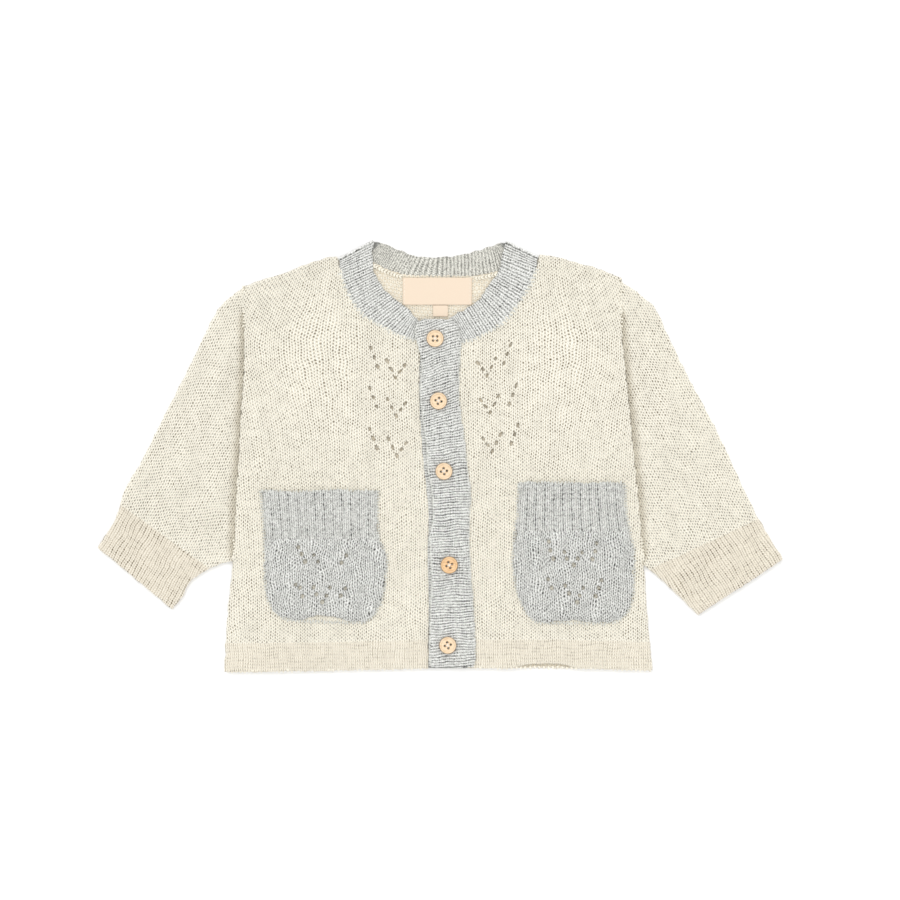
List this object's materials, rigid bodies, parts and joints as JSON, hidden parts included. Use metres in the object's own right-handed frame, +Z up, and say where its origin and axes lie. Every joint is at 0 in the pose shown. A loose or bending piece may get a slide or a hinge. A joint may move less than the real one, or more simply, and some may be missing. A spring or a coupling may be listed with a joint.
{
  "type": "baby cardigan",
  "caption": "Cream knitted baby cardigan laid flat, with grey ribbed neckband and front bands, lace patch pockets, lace fronts, ribbed cuffs and hem, and wooden buttons.",
  "frame": {"origin": "middle of the garment's box, on the surface that it lies on", "axes": "+X towards the wearer's left, which is the viewer's right, +Y from the hem to the neck, +Z up from the surface through the front"},
  "size_m": [0.4658, 0.2934, 0.0097],
  "materials": {
    "cream_knit": "matt, softly fuzzy wool knit, cream",
    "grey_knit": "matt, marled light grey wool rib",
    "button_wood": "pale wood with a fine grain, dull satin",
    "woven_tape": "matt woven cotton tape, bare"
  },
  "bodies": {
    "root": {"back_panel": "cream_knit", "front_right": "cream_knit", "front_left": "cream_knit", "sleeve_right": "cream_knit", "sleeve_left": "cream_knit", "neckband": "grey_knit", "button_band": "grey_knit", "buttonhole_band": "grey_knit", "pocket_right": "grey_knit", "pocket_left": "grey_knit", "button_1": "button_wood", "button_2": "button_wood", "button_3": "button_wood", "button_4": "button_wood", "button_5": "button_wood", "size_tag": "woven_tape", "neck_tape": "woven_tape"}
  },
  "joints": []
}
